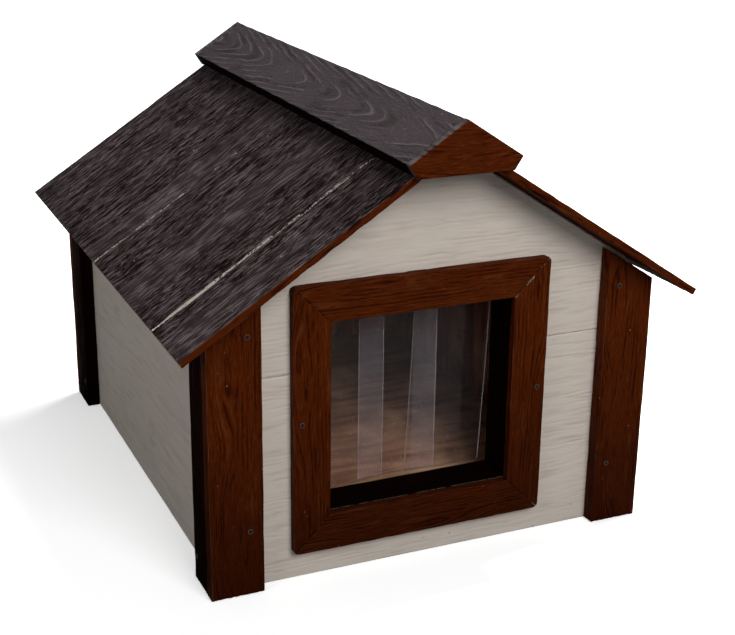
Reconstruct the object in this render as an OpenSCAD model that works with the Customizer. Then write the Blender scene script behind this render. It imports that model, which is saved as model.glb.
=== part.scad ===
// Insulated wooden kennel with a lift-off gable roof and a strip-curtain door.
// Origin: centre of the footprint, on the ground. +X right, -Y the door side, +Z up.

/* [House] */
// Width over the corner boards
house_w = 780; // [740:5:960]
// Depth over the corner boards
house_d = 920; // [700:5:1200]
// Height of the side walls where they meet the roof panels
side_h = 466; // [455:1:600]
// Slope of the roof in degrees
roof_pitch = 33; // [29:0.5:40]

/* [Walls] */
// Thickness of the outer siding sheets
siding_t = 9.5; // [8:0.5:13]
// Depth of the framing and of the foam between siding and lining
core_t = 50.8; // [44:0.1:62]
// Thickness of the lining sheets
liner_t = 9.5; // [8:0.5:13]
// Width of the studs beside the door, of the header and of the floor rails
stud_w = 38.1; // [30:0.1:42]
// Height of the top plates that carry the roof
plate_h = 38.1; // [30:0.1:50]
// Height of the joint between the lower and upper front siding sheets
seam_z = 352; // [300:1:400]
// Open joint between the two front siding sheets
seam_gap = 1; // [0.5:0.1:3]
// Gap between the siding's top edge and the roof panel
siding_drop = 4; // [1:0.5:8]
// Gap between the lining's or foam's top edge and the roof panel
core_drop = 1; // [0.5:0.5:4]
// Gap between two foam blocks
foam_gap = 0.5; // [0.3:0.1:2]

/* [Corner boards] */
// Width of a corner board
board_w = 88.9; // [80:0.1:107]
// Thickness of a corner board
board_t = 25.4; // [20:0.1:31]
// Gap between a corner board's top end and the roof panel
board_drop = 9; // [2:0.5:14]

/* [Floor] */
// Thickness of the bottom sheet
skin_t = 9.5; // [6:0.5:13]
// Height of the floor rails and floor foam
floor_core_t = 50.8; // [38:0.1:62]
// Thickness of the floor deck
deck_t = 19; // [15:0.5:20]

/* [Door] */
// Clear width of the doorway
door_w = 325; // [270:1:340]
// Clear height of the doorway
door_h = 325; // [270:1:340]
// Height of the sill above the ground
sill_z = 109.5; // [105:0.5:125]
// Sideways offset of the doorway from the middle of the front
door_x = -25.4; // [-35:0.1:0]
// Thickness of the boards that line the doorway
jamb_t = 12.7; // [9:0.1:15]
// Width of the trim boards around the doorway
trim_w = 63; // [50:0.5:64]
// Thickness of the trim boards around the doorway
trim_t = 15.9; // [12:0.1:19]
// Radius of the trim's outer corners
trim_r = 9; // [3:0.5:15]

/* [Door strips] */
// Width of a full strip
strip_w = 140; // [120:1:150]
// Overlap of two neighbouring strips
strip_overlap = 43; // [20:1:50]
// Thickness of a strip
strip_t = 2; // [1.5:0.1:3]
// Play between the front and the back layer of strips
strip_play = 0.5; // [0.4:0.1:1]
// Gap between the outer strips and the door lining
strip_side_gap = 1; // [0.5:0.1:3]
// Gap between the strips' lower ends and the sill
strip_floor_gap = 5.5; // [3:0.5:20]
// Drop of the bending line below the door lining's underside
bend_drop = 3; // [2.5:0.1:5]
// Height of the bar that clamps the strips
clamp_h = 35; // [30:0.5:40]
// Thickness of the bar that clamps the strips
clamp_t = 15.9; // [12:0.1:20]
// Reach of the clamp bar past the doorway on each side
clamp_reach = 20; // [5:1:25]

/* [Roof] */
// Thickness of the roof panels
panel_t = 12.7; // [9:0.1:16]
// Overhang of the roof panels past the corner boards at the sides, measured level
eave = 55.6; // [30:0.1:70]
// Overhang of the roof panels past the corner boards at the front and rear
verge = 48; // [30:0.5:60]
// Distance between two grooves in the roof panels
groove_pitch = 367; // [200:1:400]
// Width of a groove
groove_w = 5; // [3:0.5:8]
// Depth of a groove
groove_h = 2.2; // [1:0.1:4]
// Thickness of the roof foam
roof_foam_t = 38.1; // [25:0.1:46]
// Thickness of the ceiling sheets
ceiling_t = 6.5; // [5:0.5:10]
// Width of the ridge beam
beam_w = 38.1; // [30:0.1:46]
// Height of the ridge beam
beam_h = 89; // [75:1:110]
// Gap between the hanging part of the roof and the wall linings
roof_play = 3; // [2:0.5:6]
// Glue line under the roof panels, and the gap over the plates that carry them
seat_gap = 0.05; // [0.03:0.01:0.2]

/* [Ridge cap] */
// Width of a ridge board along the slope
ridge_w = 112.5; // [90:0.5:135]
// Thickness of the ridge boards
ridge_t = 25.4; // [19:0.1:31]
// Thickness of the blocks that close the ends of the ridge
ridge_end_t = 15.9; // [12:0.1:20]

/* [Screws] */
// Radius of a screw head
head_r = 4.5; // [4:0.1:5]
// Radius of a screw shank
shank_r = 2.1; // [1.5:0.1:2.4]
// Length of a screw
screw_l = 57; // [52:1:60]
// Radial clearance of the screw holes
screw_play = 0.1; // [0.05:0.05:0.3]
// Distance from a screw to the inner edge of a front or rear corner board
front_inset = 23; // [18:0.5:30]
// Distance from a screw to the inner edge of a side corner board
side_inset = 14.3; // [12:0.1:25]
// Distance from a screw to the outer edge of the door trim
trim_inset = 17.3; // [14:0.1:22]
// Height of the low screws in the front and rear corner boards
face_screw_low = 111; // [90:1:130]
// Height of the high screws in the front and rear corner boards
face_screw_top = 434; // [300:1:440]
// Height of the low side screw at the front
side_screw_front = 44; // [35:1:48]
// Height of the low side screw at the rear
side_screw_rear = 52; // [35:1:52]
// Height of the high side screws
side_screw_top = 400; // [300:1:410]

/* [Hidden] */
$fn = 48;
half_w = house_w / 2;
half_d = house_d / 2;
// Half sizes of the siding's outer faces, of the core's outer and inner faces and of the cabin
wall_x = half_w - board_t;
wall_y = half_d - board_t;
core_x = wall_x - siding_t;
core_y = wall_y - siding_t;
lining_x = core_x - core_t;
lining_y = core_y - core_t;
cabin_x = lining_x - liner_t;
cabin_y = lining_y - liner_t;
// Floor levels
deck_z = skin_t + floor_core_t;
floor_z = deck_z + deck_t;
// Doorway: clear opening and the rough opening that holds its lining
door_left = door_x - door_w / 2;
door_right = door_x + door_w / 2;
door_top = sill_z + door_h;
rough_left = door_left - jamb_t;
rough_right = door_right + jamb_t;
rough_bottom = sill_z - jamb_t;
rough_top = door_top + jamb_t;
stud_left = rough_left - stud_w;
stud_right = rough_right + stud_w;
header_top = rough_top + stud_w;
door_z = (sill_z + door_top) / 2;
// Strips: sideways places, bending line and the two layers
right_strip_x1 = door_right - strip_side_gap;
right_strip_x0 = right_strip_x1 - strip_w;
middle_strip_x1 = right_strip_x0 + strip_overlap;
middle_strip_x0 = middle_strip_x1 - strip_w;
left_strip_x0 = door_left + strip_side_gap;
left_strip_x1 = middle_strip_x0 + strip_overlap;
layer_half = strip_t + strip_play / 2;
head_slip = 0.01;
bend_y = -cabin_y + strip_play + layer_half;
bend_z = door_top - bend_drop;
strip_bottom = sill_z + strip_floor_gap;
clamp_gap = 1;
clamp_z = door_top + bend_drop + clamp_gap;
clamp_top = clamp_z + clamp_h;
head_margin = 4;
// Cross-shaped recess in a screw head, cut from a little above the face
recess_l = head_r * 1.1;
recess_w = 1.1;
recess_depth = 1.6;
recess_over = 0.8;
// Roof geometry
slope = tan(roof_pitch);
panel_rise = panel_t / cos(roof_pitch);
foam_rise = roof_foam_t / cos(roof_pitch);
ceiling_rise = ceiling_t / cos(roof_pitch);
ridge_rise = ridge_t / cos(roof_pitch);
groove_rise = groove_h / cos(roof_pitch);
eave_x = half_w + eave;
verge_y = half_d + verge;
ridge_x = ridge_w * cos(roof_pitch);
ridge_foot_x = ridge_x - ridge_t * sin(roof_pitch);
plug_x = cabin_x - roof_play;
plug_y = cabin_y - roof_play;
side_face_w = board_w - board_t;
cut = 1;

// Height of the roof panels' underside and top face at a distance x from the middle
function under(x) = side_h + (wall_x - abs(x)) * slope;
function over(x) = under(x) + panel_rise;
function cap(x) = over(x) + ridge_rise;

trim_brown = [0.27, 0.13, 0.07];
roof_brown = [0.22, 0.18, 0.17];
siding_cream = [0.84, 0.80, 0.74];
lining_tan = [0.55, 0.42, 0.30];
frame_pine = [0.80, 0.66, 0.45];
foam_pink = [0.93, 0.75, 0.72];
strip_clear = [0.72, 0.78, 0.80, 0.5];
screw_grey = [0.45, 0.44, 0.42];

// ---- shared shapes ----

// A box between two corners
module block(low, high) {
    translate(low) cube(high - low);
}

// A flat X-Z outline carried along Y from y0 to y1
module along_y(y0, y1) {
    translate([0, y1, 0])
        rotate([90, 0, 0])
            linear_extrude(y1 - y0) children();
}

// A wall piece with a level foot whose top follows the roof, drop below it
module wall_piece(x0, x1, y0, y1, z0, drop) {
    peak = x0 < 0 && x1 > 0 ? [[0, under(0) - drop]] : [];
    top = concat([[x1, under(x1) - drop]], peak, [[x0, under(x0) - drop]]);
    along_y(y0, y1) polygon(concat([[x0, z0], [x1, z0]], top));
}

// Turns a shape made for the front left corner to another corner
module at_corner(right, rear) {
    mirror([right ? 1 : 0, 0, 0])
        mirror([0, rear ? 1 : 0, 0])
            children();
}

// The rough opening for the door lining, through the front wall
module rough_opening() {
    block([rough_left, -wall_y - cut, rough_bottom], [rough_right, -cabin_y + cut, rough_top]);
}

// ---- screws ----

// A countersunk screw along -Z with its head's face at z = 0, grown by play
module screw(play = 0) {
    head_h = head_r - shank_r;
    translate([0, 0, -head_h]) cylinder(h = head_h, r1 = shank_r + play, r2 = head_r + play);
    translate([0, 0, -screw_l]) cylinder(h = screw_l, r = shank_r + play);
}

// The cross-shaped recess in a screw head
module cross_recess() {
    for (turn = [0, 90])
        rotate([0, 0, turn]) translate([0, 0, (recess_over - recess_depth) / 2])
            cube([recess_l, recess_w, recess_depth + recess_over], center = true);
}

// Places its children, made along -Z, at every screw of the house
module at_screws() {
    for (right = [false, true], rear = [false, true])
        at_corner(right, rear) {
            for (z = [face_screw_low, face_screw_top])
                translate([-half_w + board_w - front_inset, -half_d, z]) rotate([90, 0, 0]) children();
            for (z = [rear ? side_screw_rear : side_screw_front, side_screw_top])
                translate([-half_w, -half_d + board_w - side_inset, z]) rotate([0, -90, 0]) children();
        }
    for (x = [door_left - trim_w + trim_inset, door_right + trim_w - trim_inset])
        translate([x, -wall_y - trim_t, door_z]) rotate([90, 0, 0]) children();
    for (x = [left_strip_x0, middle_strip_x0, right_strip_x0])
        translate([x + strip_w / 2, -cabin_y + 2 * strip_t + clamp_t, (rough_top + clamp_top) / 2])
            rotate([-90, 0, 0]) children();
}

// Its children with every screw hole cut out
module bored() {
    difference() {
        children();
        at_screws() screw(screw_play);
    }
}

module wood_screws() {
    color(screw_grey)
        at_screws()
            difference() {
                screw();
                cross_recess();
            }
}

// ---- siding ----

module front_siding_lower() {
    color(siding_cream)
        bored()
            difference() {
                block([-wall_x, -wall_y, 0], [wall_x, -core_y, seam_z]);
                rough_opening();
            }
}

module front_siding_upper() {
    color(siding_cream)
        bored()
            difference() {
                wall_piece(-wall_x, wall_x, -wall_y, -core_y, seam_z + seam_gap, siding_drop);
                rough_opening();
            }
}

module rear_siding() {
    color(siding_cream)
        bored()
            wall_piece(-wall_x, wall_x, core_y, wall_y, 0, siding_drop);
}

module side_siding(right) {
    color(siding_cream)
        bored()
            at_corner(right, false)
                wall_piece(-wall_x, -core_x, -core_y, core_y, 0, siding_drop);
}

// ---- corner boards ----

// The board on the front or rear face of a corner
module corner_board(right, rear) {
    color(trim_brown)
        bored()
            at_corner(right, rear)
                wall_piece(-half_w, -half_w + board_w, -half_d, -wall_y, 0, board_drop);
}

// The narrower board on the side face of a corner, butted against the wide one
module side_board(right, rear) {
    color(trim_brown)
        bored()
            at_corner(right, rear)
                wall_piece(-half_w, -wall_x, -wall_y, -wall_y + side_face_w, 0, board_drop);
}

// ---- door trim and lining ----

// A rectangle about the door's middle with round corners
module round_rect(w, h, r) {
    square([w - 2 * r, h], center = true);
    square([w, h - 2 * r], center = true);
    for (x = [-1, 1], z = [-1, 1])
        translate([x * (w / 2 - r), z * (h / 2 - r)]) circle(r);
}

// One mitred trim board: angle 0 is the top one, turning anticlockwise from the front
module trim_board(angle) {
    outer_w = door_w + 2 * trim_w;
    outer_h = door_h + 2 * trim_w;
    w = angle % 180 == 0 ? outer_w : outer_h;
    h = angle % 180 == 0 ? outer_h : outer_w;
    mitre = [w / 2 - trim_w, h / 2 - trim_w];
    wedge = [[-mitre[0], mitre[1]], mitre, [w / 2, h / 2], [-w / 2, h / 2]];
    color(trim_brown)
        bored()
            translate([door_x, 0, door_z])
                along_y(-wall_y - trim_t, -wall_y)
                    intersection() {
                        round_rect(outer_w, outer_h, trim_r);
                        rotate(angle) polygon(wedge);
                    }
}

module door_lining(x0, x1, z0, z1) {
    color(trim_brown)
        block([x0, -wall_y, z0], [x1, -cabin_y, z1]);
}

// ---- strip curtain ----

// The hanging part of a strip; back puts it in the layer behind
module strip(x0, x1, back) {
    y0 = back ? bend_y + strip_play / 2 : bend_y - layer_half;
    color(strip_clear)
        block([x0, y0, strip_bottom], [x1, y0 + strip_t, bend_z]);
}

// The clamped top ends of the three strips
module strip_heads() {
    head_z = bend_z + layer_half + strip_play;
    head_top = clamp_top - head_margin;
    color(strip_clear)
        bored()
            union() {
                for (x = [[left_strip_x0, left_strip_x1], [right_strip_x0, right_strip_x1]])
                    block([x[0], -cabin_y, head_z], [x[1], -cabin_y + strip_t, head_top]);
                block([middle_strip_x0, -cabin_y + strip_t + head_slip, head_z],
                      [middle_strip_x1, -cabin_y + 2 * strip_t, head_top]);
            }
}

module strip_clamp_bar() {
    low = [door_left - clamp_reach, -cabin_y + 2 * strip_t, clamp_z];
    high = [door_right + clamp_reach, low[1] + clamp_t, clamp_top];
    color(frame_pine)
        bored()
            block(low, high);
}

// ---- lining sheets ----

module front_liner() {
    color(lining_tan)
        bored()
            difference() {
                wall_piece(-lining_x, lining_x, -lining_y, -cabin_y, floor_z, core_drop);
                rough_opening();
            }
}

module rear_liner() {
    color(lining_tan)
        wall_piece(-lining_x, lining_x, cabin_y, lining_y, floor_z, core_drop);
}

module side_liner(right) {
    color(lining_tan)
        at_corner(right, false)
            wall_piece(-lining_x, -cabin_x, -cabin_y, cabin_y, floor_z, core_drop);
}

// ---- foam ----

// Four blocks around the door framing
module front_foam() {
    y0 = -core_y;
    y1 = -lining_y;
    color(foam_pink)
        bored() {
            wall_piece(-lining_x + foam_gap, stud_left - foam_gap, y0, y1, floor_z, core_drop);
            wall_piece(stud_right + foam_gap, lining_x - foam_gap, y0, y1, floor_z, core_drop);
            wall_piece(stud_left, stud_right, y0, y1, header_top + foam_gap, core_drop);
            block([rough_left, y0, floor_z], [rough_right, y1, rough_bottom]);
        }
}

module rear_foam() {
    color(foam_pink)
        bored()
            wall_piece(-lining_x, lining_x, lining_y, core_y, floor_z, core_drop);
}

module side_foam(right) {
    color(foam_pink)
        bored()
            at_corner(right, false)
                block([-core_x, -lining_y, floor_z], [-lining_x, lining_y, under(core_x) - plate_h]);
}

// ---- framing ----

module corner_stud(right, rear) {
    color(frame_pine)
        bored()
            at_corner(right, rear)
                wall_piece(-core_x, -lining_x, -core_y, -lining_y, floor_z, seat_gap);
}

module door_stud(x0) {
    color(frame_pine)
        bored()
            block([x0, -core_y, floor_z], [x0 + stud_w, -lining_y, rough_top]);
}

module door_header() {
    color(frame_pine)
        bored()
            block([stud_left, -core_y, rough_top], [stud_right, -lining_y, header_top]);
}

module top_plate(right) {
    color(frame_pine)
        at_corner(right, false)
            wall_piece(-core_x, -lining_x, -lining_y, lining_y, under(core_x) - plate_h, seat_gap);
}

// ---- floor ----

module floor_deck() {
    color(lining_tan)
        bored()
            block([-core_x, -core_y, deck_z], [core_x, core_y, floor_z]);
}

module floor_skin() {
    color(lining_tan)
        block([-core_x, -core_y, 0], [core_x, core_y, skin_t]);
}

module floor_rail(right) {
    color(frame_pine)
        bored()
            at_corner(right, false)
                block([-core_x, -core_y, skin_t], [-core_x + stud_w, core_y, deck_z]);
}

module floor_foam() {
    color(foam_pink)
        bored()
            block([-core_x + stud_w, -core_y, skin_t], [core_x - stud_w, core_y, deck_z]);
}

// ---- roof ----

// Cuts the grooves that run up the slope into a left roof panel
module grooves() {
    for (y = [-groove_pitch, 0, groove_pitch])
        translate([0, y - groove_w / 2, 0])
            along_y(0, groove_w)
                polygon([
                    [cut, over(0) + cut * slope - groove_rise],
                    [-eave_x - cut, over(eave_x + cut) - groove_rise],
                    [-eave_x - cut, over(0)],
                    [cut, over(0) + cut]
                ]);
}

// Outline of the left roof panel, cut square to the slope at the eave
module panel_outline() {
    polygon([
        [0, under(0)],
        [0, over(0)],
        [-eave_x, over(eave_x)],
        [-eave_x + panel_t * sin(roof_pitch), over(eave_x) - panel_t * cos(roof_pitch)]
    ]);
}

module roof_panel(right) {
    color(roof_brown)
        at_corner(right, false)
            difference() {
                along_y(-verge_y, verge_y) panel_outline();
                grooves();
            }
}

// A layer under the left roof panel, from depth rise_0 to rise_1 below its underside
module roof_layer(rise_0, rise_1) {
    x0 = -plug_x;
    x1 = -beam_w / 2;
    along_y(-plug_y, plug_y)
        polygon([
            [x0, under(x0) - rise_1],
            [x1, under(x1) - rise_1],
            [x1, under(x1) - rise_0],
            [x0, under(x0) - rise_0]
        ]);
}

module roof_foam() {
    color(foam_pink)
        for (right = [false, true])
            at_corner(right, false) roof_layer(seat_gap, foam_rise);
}

module ceiling(right) {
    color(lining_tan)
        at_corner(right, false) roof_layer(foam_rise + seat_gap, foam_rise + ceiling_rise);
}

module ridge_beam() {
    color(frame_pine)
        wall_piece(-beam_w / 2, beam_w / 2, -plug_y, plug_y, under(0) - beam_h, seat_gap);
}

module ridge_board(right) {
    color(roof_brown)
        at_corner(right, false)
            along_y(-verge_y, verge_y)
                polygon([
                    [0, over(0)],
                    [0, cap(0)],
                    [-ridge_x, cap(ridge_x)],
                    [-ridge_foot_x, over(ridge_foot_x)]
                ]);
}

module ridge_end(rear) {
    color(trim_brown)
        at_corner(false, rear)
            along_y(-verge_y - ridge_end_t, -verge_y)
                polygon([
                    [-ridge_foot_x, over(ridge_foot_x)],
                    [ridge_foot_x, over(ridge_foot_x)],
                    [ridge_x, cap(ridge_x)],
                    [0, cap(0)],
                    [-ridge_x, cap(ridge_x)]
                ]);
}

front_siding_lower();
front_siding_upper();
rear_siding();
side_siding(false);  // left_siding
side_siding(true);  // right_siding
corner_board(false, false);  // front_left_corner_board
corner_board(true, false);  // front_right_corner_board
corner_board(false, true);  // rear_left_corner_board
corner_board(true, true);  // rear_right_corner_board
side_board(false, false);  // front_left_side_board
side_board(true, false);  // front_right_side_board
side_board(false, true);  // rear_left_side_board
side_board(true, true);  // rear_right_side_board
trim_board(0);  // door_trim_top
trim_board(90);  // door_trim_left
trim_board(180);  // door_trim_bottom
trim_board(270);  // door_trim_right
door_lining(rough_left, rough_right, door_top, rough_top);  // door_head_lining
door_lining(rough_left, rough_right, rough_bottom, sill_z);  // door_sill
door_lining(rough_left, door_left, sill_z, door_top);  // door_left_lining
door_lining(door_right, rough_right, sill_z, door_top);  // door_right_lining
strip_clamp_bar();
strip_heads();
front_liner();
rear_liner();
side_liner(false);  // left_liner
side_liner(true);  // right_liner
front_foam();
rear_foam();
side_foam(false);  // left_foam
side_foam(true);  // right_foam
corner_stud(false, false);  // front_left_stud
corner_stud(true, false);  // front_right_stud
corner_stud(false, true);  // rear_left_stud
corner_stud(true, true);  // rear_right_stud
door_stud(stud_left);  // door_left_stud
door_stud(rough_right);  // door_right_stud
door_header();
top_plate(false);  // left_top_plate
top_plate(true);  // right_top_plate
floor_deck();
floor_foam();
floor_skin();
floor_rail(false);  // floor_rail_left
floor_rail(true);  // floor_rail_right
wood_screws();
strip(left_strip_x0, left_strip_x1, false);  // door_strip_left
strip(middle_strip_x0, middle_strip_x1, true);  // door_strip_middle
strip(right_strip_x0, right_strip_x1, false);  // door_strip_right
roof_panel(false);  // roof_panel_left
roof_panel(true);  // roof_panel_right
roof_foam();
ceiling(false);  // ceiling_left
ceiling(true);  // ceiling_right
ridge_beam();
ridge_board(false);  // ridge_board_left
ridge_board(true);  // ridge_board_right
ridge_end(false);  // ridge_end_front
ridge_end(true);  // ridge_end_rear
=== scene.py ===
import math

import bpy
import numpy as np
from mathutils import Matrix, Vector


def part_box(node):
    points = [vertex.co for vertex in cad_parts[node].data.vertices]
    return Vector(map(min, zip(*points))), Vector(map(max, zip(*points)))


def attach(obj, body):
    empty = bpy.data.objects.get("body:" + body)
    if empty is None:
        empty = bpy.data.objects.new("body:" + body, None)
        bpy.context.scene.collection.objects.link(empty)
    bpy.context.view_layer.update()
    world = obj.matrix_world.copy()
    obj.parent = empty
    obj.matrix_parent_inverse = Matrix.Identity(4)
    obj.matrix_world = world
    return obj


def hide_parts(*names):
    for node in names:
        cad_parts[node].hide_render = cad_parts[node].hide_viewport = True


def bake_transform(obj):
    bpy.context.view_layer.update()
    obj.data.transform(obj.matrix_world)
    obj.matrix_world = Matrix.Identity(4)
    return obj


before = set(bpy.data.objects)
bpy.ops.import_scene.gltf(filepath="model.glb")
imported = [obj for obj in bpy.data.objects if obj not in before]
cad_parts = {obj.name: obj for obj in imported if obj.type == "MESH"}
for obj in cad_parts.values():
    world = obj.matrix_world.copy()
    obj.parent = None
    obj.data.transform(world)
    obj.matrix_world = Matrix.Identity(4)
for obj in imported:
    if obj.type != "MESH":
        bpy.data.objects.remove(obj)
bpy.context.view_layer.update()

# Values of the whole house that the other pieces share
house = {
    "pitch": math.radians(33),  # slope of the roof
    "seed": 40,  # changes every grain pattern
    "archWidth": 0.035,  # how far an arch of the grain reaches across a board
    "apart": np.array([0.37, 0.21]),  # steps in the shader noise from one board to the next
}
slope = math.tan(house["pitch"])


def nodeBox(name):
    # lowest and highest corner of a CAD node as arrays
    low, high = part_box(name)
    return np.array(low), np.array(high)


# Noise on whole arrays


def cellNumbers(ix, iy, seed):
    # one number from 0 to 1 for each whole-number cell, by mixing the bits of its two indices
    mixed = (ix * 374761393 + iy * 668265263 + seed * 974711) & 0xFFFFFFFF
    mixed = ((mixed ^ (mixed >> 13)) * 1274126177) & 0xFFFFFFFF
    return ((mixed ^ (mixed >> 16)) & 0xFFFF) / 65535.0


def noise(x, y, seed):
    # numbers at the corners of a square grid, blended between them by 3t^2 - 2t^3
    ix, iy = np.floor(x).astype(np.int64), np.floor(y).astype(np.int64)
    tx, ty = x - ix, y - iy
    tx, ty = tx * tx * (3 - 2 * tx), ty * ty * (3 - 2 * ty)
    low = cellNumbers(ix, iy, seed) * (1 - tx) + cellNumbers(ix + 1, iy, seed) * tx
    high = cellNumbers(ix, iy + 1, seed) * (1 - tx) + cellNumbers(ix + 1, iy + 1, seed) * tx
    return low * (1 - ty) + high * ty


def rise(x, low, high):
    # 0 below low, 1 above high, smooth between
    t = np.clip((x - low) / (high - low), 0, 1)
    return t * t * (3 - 2 * t)


def grainRelief(along, across, grain):
    # height of the pressed grain from 0 to 1. Lines: cosine waves across the board, bent by slow noise
    # and arched round knots. Ridges and pits: noise stretched along the grain, folded at its middle or
    # cut off above a level. Bands without pits, broad swells and fine streaks come on top
    seed = grain["seed"] + house["seed"]
    bend = grain["wander"] * (
        noise(along * 3, across * 9, seed) - 0.5 + 0.45 * (noise(along * 13, across * 24, seed + 1) - 0.5)
        + 0.2 * (noise(along * 34, across * 60, seed + 5) - 0.5)
    )
    bent = across + bend
    if grain.get("cathedral"):  # nested arches that close towards the start of the board
        middle, blunt, pull = grain["cathedral"]
        bent = np.hypot(across - middle, blunt) - pull * along + bend
    for middle, top, pull in grain.get("arches", ()):
        near = np.exp(-(((across - middle) / house["archWidth"]) ** 2)) * rise(-np.abs(along - top), -0.17, -0.03)
        bent = bent + near * (np.hypot(across - middle, (along - top) * pull) - (across - middle))
    lineShare, ridgeShare, pitShare = grain["mix"]
    wave = (0.5 - 0.5 * np.cos(2 * math.pi * bent * grain["lines"])) ** grain.get("thin", 1.4)
    fade = rise(noise(along * grain["dash"], bent * grain["lines"] * 0.9, seed + 2), 0.25, 0.75)
    ridged = 1 - np.abs(2 * noise(along * grain["dash"] * 0.8, bent * grain["lines"] * 1.35, seed + 3) - 1)
    plain = grain.get("bands", 0) * rise(noise(along * 0.8 + 9, bent * 13, seed + 7), 0.5, 0.6)
    pits = rise(noise(along * grain["dash"], bent * grain["pitLines"], seed + 8), 0.6, 0.82) * (1 - plain)
    broad = noise(along * 6, across * 60, seed + 4)
    fine = noise(along * 70, bent * 430, seed + 6)
    height = 1.02 - lineShare * wave * fade - ridgeShare * ridged**3 - pitShare * pits - 0.16 * broad - 0.12 * fine
    if grain.get("raised"):
        thin = (0.5 + 0.5 * np.cos(2 * math.pi * bent * grain["lines"])) ** 7 * rise(fade + broad, 0.6, 1.1)
        height = height * (1 - grain["raised"]) + grain["raised"] * thin
    return np.clip(height, 0, 1), plain


# Meshes


def newPiece(name, points, faces, body, nodes, material, fields):
    # a mesh from whole arrays of points and quads or triangles, shaded smooth, with its point attributes
    mesh = bpy.data.meshes.new(name)
    loops = np.concatenate([np.asarray(part).ravel() for part in faces])
    sizes = np.concatenate([np.full(len(part), np.asarray(part).shape[1]) for part in faces])
    mesh.vertices.add(len(points))
    mesh.vertices.foreach_set("co", np.asarray(points, np.float32).ravel())
    mesh.loops.add(len(loops))
    mesh.loops.foreach_set("vertex_index", loops.astype(np.int32))
    mesh.polygons.add(len(sizes))
    mesh.polygons.foreach_set("loop_start", (np.cumsum(sizes) - sizes).astype(np.int32))
    mesh.polygons.foreach_set("use_smooth", np.ones(len(sizes), bool))
    mesh.update(calc_edges=True)
    for key, values in fields.items():
        kind = "FLOAT_VECTOR" if np.ndim(values) == 2 else "FLOAT"
        data = mesh.attributes.new(key, kind, "POINT").data
        data.foreach_set("vector" if kind == "FLOAT_VECTOR" else "value", np.asarray(values, np.float32).ravel())
    mesh.materials.append(material)
    piece = bpy.data.objects.new(name, mesh)
    bpy.context.scene.collection.objects.link(piece)
    if body:
        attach(piece, body)
    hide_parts(*nodes)
    return piece


def latticeFaces(counts):
    # the quads on the six sides of a grid of counts cells, welded along the edges, facing outwards
    quads = []
    for axis in range(3):
        u, v = (axis + 1) % 3, (axis + 2) % 3
        gridU, gridV = np.meshgrid(np.arange(counts[u]), np.arange(counts[v]), indexing="ij")
        for end in (0, counts[axis]):
            ring = [(0, 0), (1, 0), (1, 1), (0, 1)] if end else [(0, 0), (0, 1), (1, 1), (1, 0)]
            side = np.full((gridU.size, 4, 3), end)
            for n, (du, dv) in enumerate(ring):
                side[:, n, u] = gridU.ravel() + du
                side[:, n, v] = gridV.ravel() + dv
            quads.append(side)
    flat = np.concatenate(quads).reshape(-1, 3)
    key = (flat[:, 0] * (counts[1] + 1) + flat[:, 1]) * (counts[2] + 1) + flat[:, 2]
    _, first, back = np.unique(key, return_index=True, return_inverse=True)
    return flat[first], back.reshape(-1, 4)


def tubeFaces(rows, turns):
    # quads over rings of points, and the fans that join the first and last ring to a middle point each
    number = np.arange(rows * turns).reshape(rows, turns)
    following = np.roll(number, -1, axis=1)
    quads = np.stack([number[1:], following[1:], following[:-1], number[:-1]], -1).reshape(-1, 4)
    first = np.stack([np.full(turns, rows * turns), number[0], following[0]], 1)
    last = np.stack([np.full(turns, rows * turns + 1), following[-1], number[-1]], 1)
    return quads, np.concatenate([first, last])


def steps(length, cell, ease, extra):
    # places along one side of a block: two lines inside each rounded edge, even ones between
    count = max(1, round((length - 2 * ease) / cell))
    rim = ease * np.array([0, 0.35])
    places = np.concatenate([rim, np.linspace(ease, length - ease, count + 1), length - rim])
    return np.unique(np.round(np.concatenate([places, np.asarray(extra, float)]), 7))


def spread(cuts, cell):
    # even places about one cell apart between neighbouring cuts
    parts = [np.linspace(a, b, max(2, round((b - a) / cell) + 1))[:-1] for a, b in zip(cuts, cuts[1:])]
    return np.concatenate([*parts, [cuts[-1]]])


def fromCorners(corners, t):
    # the point at shares t of the way along a block's three sides, blended from its eight corners
    point = 0
    for corner in np.ndindex(2, 2, 2):
        weights = [t[:, n, None] if far else 1 - t[:, n, None] for n, far in enumerate(corner)]
        point = point + weights[0] * weights[1] * weights[2] * corners[corner]
    return point


def boxCorners(low, high, along, across, outward):
    # corner (i, j, k) of a box: i along the grain, j across it, k from the back to the face that shows
    axis, sign = outward
    corners = np.zeros((2, 2, 2, 3))
    for i, j, k in np.ndindex(2, 2, 2):
        corners[i, j, k, along] = (low, high)[i][along]
        corners[i, j, k, across] = (low, high)[j][across]
        corners[i, j, k, axis] = (low, high)[k if sign > 0 else 1 - k][axis]
    return corners


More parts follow.
